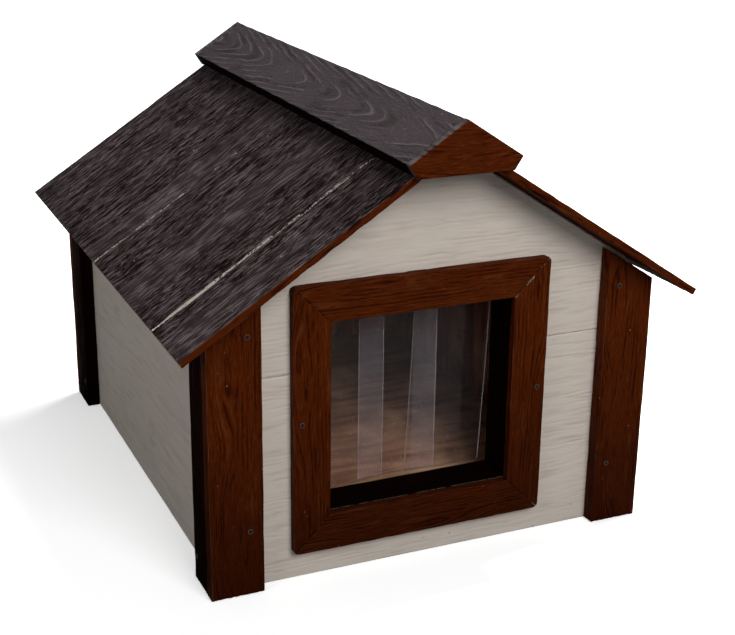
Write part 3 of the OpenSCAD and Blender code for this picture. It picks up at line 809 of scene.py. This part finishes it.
# Screws: countersunk heads with a cross, on the corner boards, the door trim and the clamp bar
screws = {
    "head": 0.0045, "shank": 0.0021, "length": 0.057, "tip": 0.006,  # two radii and two lengths
    "proud": 0.0003, "cross": 0.00028,  # how far a face stands over its rim, and its cross under it
    "armLength": 0.0034, "armHalf": 0.00085, "soft": 0.0002, "turns": 48,
    "reach": 0.012,  # points closer than this belong to one head
}


def screwPlaces(axis, plane):
    # middle of each head whose face lies on a plane: the CAD points on it, gathered where they are close
    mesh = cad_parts["wood_screws"].data
    points = np.zeros(len(mesh.vertices) * 3)
    mesh.vertices.foreach_get("co", points)
    points = points.reshape(-1, 3)
    near = points[np.abs(points[:, axis] - plane) < 0.0001]
    middles = []
    while len(near):
        mine = np.linalg.norm(near - near[0], axis=1) < screws["reach"]
        middles.append((near[mine].min(axis=0) + near[mine].max(axis=0)) / 2)
        near = near[~mine]
    return middles


def screwHeads():
    # a profile turned about each axis: face, rounded rim, cone, shank and tip; the face sinks by a smooth
    # step where the smaller of |x| and |y| is under half an arm's width, out to the arm's length
    head, shank = screws["head"], screws["shank"]
    faceRows = np.linspace(0.06, 0.94, 18) * head
    radius = np.concatenate([faceRows, [head, head, shank, shank, 0.0004]])[:, None]
    proud, length = screws["proud"], screws["length"]
    below = [0.0001, proud, proud + head - shank, length - screws["tip"], length]
    below = np.concatenate([np.zeros(len(faceRows)), below])[:, None]
    centres, outwards = [], []
    for axis, sign, plane in (
        (1, -1, nodeBox("front_left_corner_board")[0][1]), (1, 1, nodeBox("rear_left_corner_board")[1][1]),
        (1, -1, nodeBox("door_trim_top")[0][1]), (1, 1, nodeBox("strip_clamp_bar")[1][1]),
        (0, -1, nodeBox("front_left_side_board")[0][0]), (0, 1, nodeBox("front_right_side_board")[1][0]),
    ):
        found = screwPlaces(axis, plane)
        centres += found
        outwards += [np.eye(3)[axis] * sign] * len(found)
    points, faces, recess, rim = [], [], [], []
    rows, turns = len(radius), screws["turns"]
    quads, caps = tubeFaces(rows, turns)
    for n, (centre, outward) in enumerate(zip(centres, outwards)):
        angle = np.arange(turns) * 2 * math.pi / turns + 1.5 * cellNumbers(n, 3, house["seed"])
        x, y = radius * np.cos(angle), radius * np.sin(angle)
        u = np.cross([0, 0, 1], outward)
        crossX, crossY = radius * np.cos(angle - angle[0]), radius * np.sin(angle - angle[0])
        soft = screws["soft"]
        nearer = np.minimum(np.abs(crossX), np.abs(crossY))
        sunk = 1 - rise(nearer, screws["armHalf"] - soft, screws["armHalf"] + soft)
        beyond = rise(radius, screws["armLength"] - 1.5 * soft, screws["armLength"] + 1.5 * soft)
        sunk = sunk * (1 - beyond) * (below == 0)
        depth = below + sunk * screws["cross"] - proud
        body = centre + x[..., None] * u + y[..., None] * np.array([0, 0, 1]) - depth[..., None] * outward
        ends = [centre - (screws["cross"] - proud) * outward, centre - length * outward]
        start = n * (rows * turns + 2)
        points += [body.reshape(-1, 3), np.array(ends)]
        faces += [quads + start, caps + start]
        recess += [sunk.ravel(), [1, 0]]
        rim += [(rise(radius, head * 0.86, head * 0.96) * (below < 0.0004) * np.ones(turns)).ravel(), [0, 0]]
    quadFaces, capFaces = np.concatenate(faces[0::2]), np.concatenate(faces[1::2])
    fields = {"recess": np.concatenate(recess), "rim": np.concatenate(rim)}
    newPiece("screws_shown", np.concatenate(points), [quadFaces, capFaces], "house", ["wood_screws"],
             screwMetal, fields)
    print("screws built", len(centres))


screwHeads()

# Siding: two sheets in front, one on each other side, all with level pressed grain
siding = {
    "cell": (0.006, 0.0022), "sideCell": (0.007, 0.0026, 0.005), "sideEase": 0.0008,
    "straight": 0.450,  # height below which a gable sheet's rows are level
    "rims": (0.0007, 0.0015),  # rows close to a sheet's lower and upper edge, for the rolled seam
    "roll": 0.0009, "rollReach": 0.0011, "seamWear": 0.003,
    "grain": {"depth": 0.0011, "lines": 135, "pitLines": 190, "wander": 0.016, "dash": 18, "thin": 2.5,
              "mix": (0.42, 0.25, 0.2)},
}


def sidingSheets():
    opening = nodeBox("door_left_lining")[0][0], nodeBox("door_right_lining")[1][0]
    bottom, top = nodeBox("door_sill")[0][2], nodeBox("door_head_lining")[1][2]
    for n, key in enumerate(("front_siding_lower", "front_siding_upper", "rear_siding")):
        low, high = nodeBox(key)
        rear, lower = key == "rear_siding", key == "front_siding_lower"
        straight = high[2] if lower else siding["straight"]
        cuts = [low[0], high[0]] if rear else [low[0], *opening, high[0]]
        levels = [low[2], *([] if rear else [bottom if lower else top]), *([] if lower else [straight]), high[2]]
        xs, zs = spread(cuts, siding["cell"][0]), spread(levels, siding["cell"][1])
        zs = np.unique(np.concatenate([zs, *([low[2] + rim, high[2] - rim] for rim in siding["rims"])]))
        midX, midZ = (xs[1:] + xs[:-1]) / 2, (zs[1:] + zs[:-1]) / 2
        inWidth, inHeight = (midX > opening[0]) & (midX < opening[1]), (midZ > bottom) & (midZ < top)
        keep = ~(inWidth[:, None] & inHeight) | rear
        line = (lambda x: np.full(x.shape, high[2])) if lower else (lambda x: high[2] - np.abs(x) * slope)
        y0, y1 = (high[1], low[1]) if rear else (low[1], high[1])
        seams = [] if rear else [high[2] if lower else low[2]]
        cutSheet(key, xs, zs, keep, line, y0, y1, {**siding["grain"], "seed": 50 + n, "straight": straight}, seams)
    for n, (key, sign) in enumerate((("left_siding", -1), ("right_siding", 1))):
        low, high = nodeBox(key)
        corners = boxCorners(low, high, 1, 2, (0, sign))
        corners[:, 1, 1, 2] = high[2] - abs(high[0] - low[0]) * slope
        easedBlock(key, corners, {**siding["grain"], "seed": 60 + n}, "house", creamPaint,
                   siding["sideEase"], siding["sideCell"])


sidingSheets()
print("siding built")

# Roof panels with grooves up the slope, ridge boards and the blocks that close the ridge's ends
roof = {
    "grooves": (-0.367, 0.0, 0.367), "grooveHalf": 0.0025, "grooveDepth": 0.0022,
    "grooveTop": 0.0006, "grooveFoot": 0.0004,  # how far a groove's side leans out and in
    "grooveWear": ((0.88, 0.62, 1.6), (0.78, 0.42, 1.2), (0.62, 0.12, 1.0)),  # strength at the eave, reach, width
    "panel": 0.0127,  # thickness of a panel
    "ease": 0.0015, "cell": (0.007, 0.0019, 0.004),
    "grain": {"depth": 0.0024, "lines": 130, "pitLines": 265, "wander": 0.012, "dash": 40, "bands": 0.9,
              "edge": 0.004, "mix": (0.12, 0.3, 0.9),
              "arches": [(0.2, 0.3, 0.12), (0.55, 0.18, 0.1), (0.82, 0.36, 0.12)]},
}


def slopeCorners(low, high, sign, thick, lengthwise):
    # corners of a board on one slope: its lower edge is square to the slope, so the back lies thick * sine
    # in and thick * cosine down, and its upper edge stands upright under the ridge. The grain runs along
    # the house or up the slope
    rim = max(abs(low[0]), abs(high[0]))
    rimTop = high[2] - rim * slope
    sine, cosine = math.sin(house["pitch"]), math.cos(house["pitch"])
    corners = np.zeros((2, 2, 2, 3))
    for end, y in enumerate((low[1], high[1])):
        for up, (back, face) in enumerate((
            ([sign * (rim - thick * sine), y, rimTop - thick * cosine], [sign * rim, y, rimTop]),
            ([0, y, high[2] - thick / cosine], [0, y, high[2]]),
        )):
            corners[(end, up) if lengthwise else (up, end)] = [back, face]
    return corners


def roofPanels():
    for n, (key, sign) in enumerate((("roof_panel_left", -1), ("roof_panel_right", 1))):
        low, high = nodeBox(key)
        corners = slopeCorners(low, high, sign, roof["panel"], False)
        half = roof["grooveHalf"]
        foot, rim = half - roof["grooveFoot"], half + roof["grooveTop"]
        lines = [place - low[1] + side for place in roof["grooves"] for side in (-rim, -foot, foot, rim)]

        def groove(along, local, size, start=low[1]):
            # grooves with sloping sides, and paint rubbed off along their rims and floors
            y = local[:, 1] + start
            cut, wear = np.zeros(len(y)), np.zeros(len(y))
            upper = local[:, 2] > size[2] * 0.9
            for place, (strength, reach, wide) in zip(roof["grooves"], roof["grooveWear"]):
                off = np.abs(y - place)
                cut = np.maximum(cut, roof["grooveDepth"] * (1 - rise(off, foot, rim)))
                ragged = (0.45 * noise(along * 260, y * 900, 7) + 0.3 * noise(along * 70, y * 60, 9)
                          + 0.25 * noise(along * 12, y * 9, 8))
                level = strength * (1 - 0.6 * rise(along, 0, reach)) * (along < reach)
                inside = 1 - rise(off, half * wide - 0.0008, half * wide + 0.0009)
                wear = np.maximum(wear, inside * np.clip(level + 0.9 * (ragged - 0.5), 0, 0.9) * (level > 0))
            return cut * upper, wear * upper

        # the top takes the roof stain with its painted sky sheen, the other sides the plain brown stain
        easedBlock(key, corners, {**roof["grain"], "seed": 70 + n}, "roof", roofSheenPaint,
                   roof["ease"], roof["cell"], extra=lines, dent=groove, sides=brownPaint)


ridge = {
    "thick": 0.0254,  # thickness of a ridge board
    "ease": 0.002, "cell": (0.0035, 0.0014, 0.005),
    "outlineStep": 0.002, "lift": 0.012, "dish": 0.0005,  # an end block's points: spacing, and its middle
    "bow": 0.14, "edgeWear": 0.003,  # bend of its grain, and how far its worn edge reaches
    "grain": {"depth": 0.0012, "lines": 90, "pitLines": 170, "wander": 0.014, "dash": 20, "raised": 0.6,
              "cathedral": (0.055, 0.016, 0.16), "mix": (0.1, 0.1, 0.3)},
}


def ridgeBoards():
    for n, (key, sign) in enumerate((("ridge_board_left", -1), ("ridge_board_right", 1))):
        corners = slopeCorners(*nodeBox(key), sign, ridge["thick"], True)
        # the ridge boards' sides take the stain darkened as painted shade
        easedBlock(key, corners, {**ridge["grain"], "seed": 80 + n}, "roof", ridgePaint,
                   ridge["ease"], ridge["cell"], sides=deepShadePaint)


def ridgeEnds():
    # outline of five sides with rounded corners, carried from the middle of the face outwards, over the
    # rounded rim, across the block's thickness and back to the middle behind
    for n, (key, sign) in enumerate((("ridge_end_front", -1), ("ridge_end_rear", 1))):
        low, high = nodeBox(key)
        rim = high[0]
        rimTop = high[2] - rim * slope
        foot = rim - ridge["thick"] * math.sin(house["pitch"])
        outline = np.array([[-foot, low[2]], [foot, low[2]], [rim, rimTop], [0, high[2]], [-rim, rimTop]])
        sides = np.roll(outline, -1, axis=0) - outline
        lengths = np.linalg.norm(sides, axis=1)
        share = np.concatenate([
            np.linspace(0, 1, max(6, round(length / ridge["outlineStep"])), endpoint=False) + side
            for side, length in enumerate(lengths)
        ])
        side = np.floor(share).astype(int)
        ring = outline[side] + sides[side] * (share - side)[:, None]
        centre = np.array([0, (low[2] + rimTop) / 2 + ridge["lift"]])
        face, back = (low[1], high[1]) if sign < 0 else (high[1], low[1])
        ease, thick = ridge["ease"], abs(back - face)
        inward = centre - ring
        inward = inward / np.linalg.norm(inward, axis=1, keepdims=True)
        turns = np.linspace(0, math.pi / 2, 4)
        bend = [(ease * (1 - math.sin(turn)), ease * (1 - math.cos(turn))) for turn in turns]
        onFace, behind = np.linspace(0.03, 1, 26)[:-1] ** 0.85, np.linspace(1, 0.03, 12)[1:]
        rows = [centre + (ring + inward * ease - centre) * t for t in onFace]
        rows += [ring + inward * inset for inset, _ in (*bend, *bend[::-1])]
        rows += [centre + (ring + inward * ease - centre) * t for t in behind]
        depths = [0.0] * len(onFace) + [depth for _, depth in bend]
        depths += [thick - depth for _, depth in bend[::-1]] + [thick] * len(behind)
        rows, depths = np.array(rows), np.array(depths)
        grain = {**corner["grain"], "seed": 90 + n}
        x, z = rows[:, :, 0], rows[:, :, 1]
        relief = grainRelief(x + 0.4, z - ridge["bow"] * x * x / rim + 0.2, grain)[0]
        depth = depths[:, None] + np.where((depths < ease / 2)[:, None], grain["depth"] * (1 - relief), 0)
        y = face - sign * depth
        points = np.stack([x, y, z], -1).reshape(-1, 3)
        middle = np.array([[0, face - sign * ridge["dish"], centre[1]], [0, back, centre[1]]])
        points = np.concatenate([points, middle])
        across = x.shape[1]
        faces = tubeFaces(*x.shape)
        if sign > 0:
            faces = [part[:, ::-1] for part in faces]
        edge = np.exp(-np.abs(depths - ease)[:, None] / ridge["edgeWear"]) * np.ones(across)
        edge[-1] = 0
        place = np.stack([x + 3 + n, z, depth], -1).reshape(-1, 3)
        edge = edge * (np.abs(np.gradient(depths)) > 0)[:, None]
        fields = {
            "grain": np.concatenate([place, middle]), "relief": np.append(relief.ravel(), [0.7, 0.7]),
            "edge": np.append(edge.ravel(), [0, 0]), "wear": np.zeros(len(points)),
        }
        block = newPiece(f"{key}_shown", points, faces, "roof", [key], brownPaint, fields)
        block.data.materials.append(ridgePaint)
        onRim = np.repeat(depths[1:] > ease / 2, across)
        flags = np.concatenate([onRim, np.zeros(across, bool), np.ones(across, bool)])
        block.data.polygons.foreach_set("material_index", flags.astype(np.int32))


roofPanels()
ridgeBoards()
ridgeEnds()
print("roof built")

# Clear door strips: the left and right ones in the front layer, the middle one behind
strips = {
    "bendReach": 0.007,  # a reach above and below a line across a strip
    "curl": 0.016,  # how far the left strip's lower corner comes forward
    "rim": 0.0011,  # width of the milky cut edge
    "lean": 0.013,  # how far the right strip's lower end leans to the left
    "bow": {"left": 0.0025, "middle": 0.0035, "right": 0.003},  # depth of each strip's curve across its width
    "counts": (42, 90),  # lines across and down
    "layerGap": 0.0005,  # between the two layers
}


def stripShape(u, v, key, low, high, headTop):
    # place of the sheet's middle: x across and z down the strip; y bows forward or back towards the lower
    # end by a parabola across the width, and one corner curls by a smooth power of both
    width = high[0] - low[0]
    x = low[0] + u * width
    z = headTop + v * (low[2] - headTop)
    down = np.clip((high[2] - z) / (high[2] - low[2]), 0, 1)
    y = (low[1] + high[1]) / 2 + 0 * u
    bow = strips["bow"][key] * (1 - (2 * u - 1) ** 2)
    if key == "middle":
        y = y + bow * down**1.5
    elif key == "left":
        y = y - bow * down**2 - strips["curl"] * (1 - u) ** 2.2 * rise(down, 0.45, 1.0) ** 1.4
    else:
        x = x - strips["lean"] * down**1.3
        y = y - bow * down**2
    return x, y, z


def doorStrips():
    headTop = nodeBox("strip_heads")[1][2]
    for key in ("left", "middle", "right"):
        low, high = nodeBox(f"door_strip_{key}")
        thick = high[1] - low[1]
        rim = strips["rim"] / (high[0] - low[0])
        us = np.concatenate([[0, rim * 0.3], np.linspace(rim, 1 - rim, strips["counts"][0]), [1 - rim * 0.3, 1]])
        vs = np.concatenate([[0], np.linspace(0.002, 0.998, strips["counts"][1]), [1]])
        u, v = np.meshgrid(us, vs, indexing="ij")
        x, y, z = stripShape(u, v, key, low, high, headTop)
        half = thick / 2 * np.where((u == 0) | (u == 1) | (v == 0) | (v == 1), 0.6, 1.0)
        front = np.stack([x, y - half, z], -1).reshape(-1, 3)
        back = np.stack([x, y + half, z], -1).reshape(-1, 3)
        number = np.arange(u.size).reshape(u.shape)
        quads = np.stack([number[:-1, :-1], number[:-1, 1:], number[1:, 1:], number[1:, :-1]], -1).reshape(-1, 4)
        ring = np.concatenate([number[:-1, 0], number[-1, :-1], number[:0:-1, -1], number[0, :0:-1]])
        following = np.roll(ring, -1)
        walls = np.stack([ring, following, following + u.size, ring + u.size], 1)
        faces = [quads, quads[:, ::-1] + u.size, walls]
        piece = newPiece(f"clear_strip_{key}", np.concatenate([front, back]), faces, None,
                         [f"door_strip_{key}", "strip_heads"], clearSheet, {})
        piece.data.materials.append(clearEdge)
        piece.data.materials.append(overlapHazeSheet)
        column = np.repeat(np.arange(len(us) - 1), len(vs) - 1)
        border = (column < 2) | (column > len(us) - 4)
        kind = np.where(border, 1, 0)
        if key == "middle":  # milkier where the two strips in front of it overlap it: a painted haze for the brighter reflection of two layers
            place = np.repeat((x[1:, 0] + x[:-1, 0]) / 2, len(vs) - 1)
            inner = nodeBox("door_strip_left")[1][0], nodeBox("door_strip_right")[0][0]
            kind = np.where(~border & ((place < inner[0]) | (place > inner[1])), 2, kind)
        kinds = np.concatenate([kind, kind, np.ones(len(walls))]).astype(np.int32)
        piece.data.polygons.foreach_set("material_index", kinds)
        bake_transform(piece)


doorStrips()
print("door strips hung")

# Floor, light and camera
studio = {
    "floorReach": 14.0, "floorDrop": 0.0004,
    "floorColour": (0.9, 0.9, 0.9, 1), "floorBounce": (0.11, 0.11, 0.11, 1), "floorGlow": 0.5,
    "worldStrength": 0.2, "worldShown": 0.8, "worldColour": (0.95, 0.97, 1.0, 1),
    "lamps": [  # place, aim, size and power of each soft lamp
        ((0.3, -4.7, 3.3), (0, 0, 0.3), 3.0, 174.0),
        ((-3.6, -1.6, 2.4), (0, 0, 0.3), 2.6, 38.0),
        ((4.4, 0.4, 5.1), (0, 0, 0.5), 0.6, 480.0),
        ((2.6, 1.8, 6.5), (0, 0, 0.3), 2.2, 320.0),
    ],
}


def makeFloor():
    mesh = bpy.data.meshes.new("floor")
    square = np.array([[-1, -1, 0], [1, -1, 0], [1, 1, 0], [-1, 1, 0]]) * studio["floorReach"]
    mesh.from_pydata(square.tolist(), [], [(0, 1, 2, 3)])
    material, tree, shader = newMaterial("floor_paint")
    feed(tree, shader, Base_Color=studio["floorBounce"], Roughness=0.9, Specular_IOR_Level=0.1)
    seen = addNode(tree, "ShaderNodeBsdfDiffuse", Color=studio["floorColour"])
    glow = addNode(tree, "ShaderNodeEmission", Color=studio["floorColour"], Strength=studio["floorGlow"])
    both = addNode(tree, "ShaderNodeAddShader")
    tree.links.new(seen.outputs[0], both.inputs[0])
    tree.links.new(glow.outputs[0], both.inputs[1])
    splitByRay(tree, "Is Camera Ray", shader, both)
    mesh.materials.append(material)
    floor = bpy.data.objects.new("floor", mesh)
    floor.location.z = -studio["floorDrop"]
    bpy.context.scene.collection.objects.link(floor)


def makeLight():
    world = bpy.data.worlds.new("soft_sky")
    world.use_nodes = True
    tree = world.node_tree
    seen = addNode(tree, "ShaderNodeLightPath").outputs["Is Camera Ray"]
    strength = plus(tree, times(tree, seen, studio["worldShown"]), studio["worldStrength"])
    feed(tree, tree.nodes["Background"], Color=studio["worldColour"], Strength=strength)
    bpy.context.scene.world = world
    for n, (place, aim, size, power) in enumerate(studio["lamps"]):
        data = bpy.data.lights.new(f"lamp_{n}", "AREA")
        data.shape = "DISK"
        data.size = size
        data.energy = power
        lamp = bpy.data.objects.new(f"lamp_{n}", data)
        lamp.location = place
        lamp.rotation_mode = "QUATERNION"
        lamp.rotation_quaternion = (Vector(aim) - Vector(place)).to_track_quat("-Z", "Y")
        bpy.context.scene.collection.objects.link(lamp)


view = {"place": (-0.9581, -2.3279, 1.1757), "azimuth": 23.906, "elevation": -19.818, "roll": 0.716, "lens": 69.632}


def makeCamera():
    data = bpy.data.cameras.new("camera")
    data.lens = view["lens"]
    data.sensor_width = 36.0
    data.clip_start, data.clip_end = 0.05, 60.0
    a, e, r = (math.radians(view[key]) for key in ("azimuth", "elevation", "roll"))
    look = Vector((math.sin(a) * math.cos(e), math.cos(a) * math.cos(e), math.sin(e)))
    right = Vector((math.cos(a), -math.sin(a), 0))
    up = right.cross(look)
    turned = right * math.cos(r) + up * math.sin(r)
    upright = up * math.cos(r) - right * math.sin(r)
    axes = Matrix((turned, upright, -look)).transposed()
    camera = bpy.data.objects.new("camera", data)
    camera.matrix_world = Matrix.Translation(view["place"]) @ axes.to_4x4()
    bpy.context.scene.collection.objects.link(camera)
    bpy.context.scene.camera = camera


makeFloor()
makeLight()
makeCamera()
bpy.context.scene.view_settings.view_transform = "Standard"
print("floor, light and camera set")
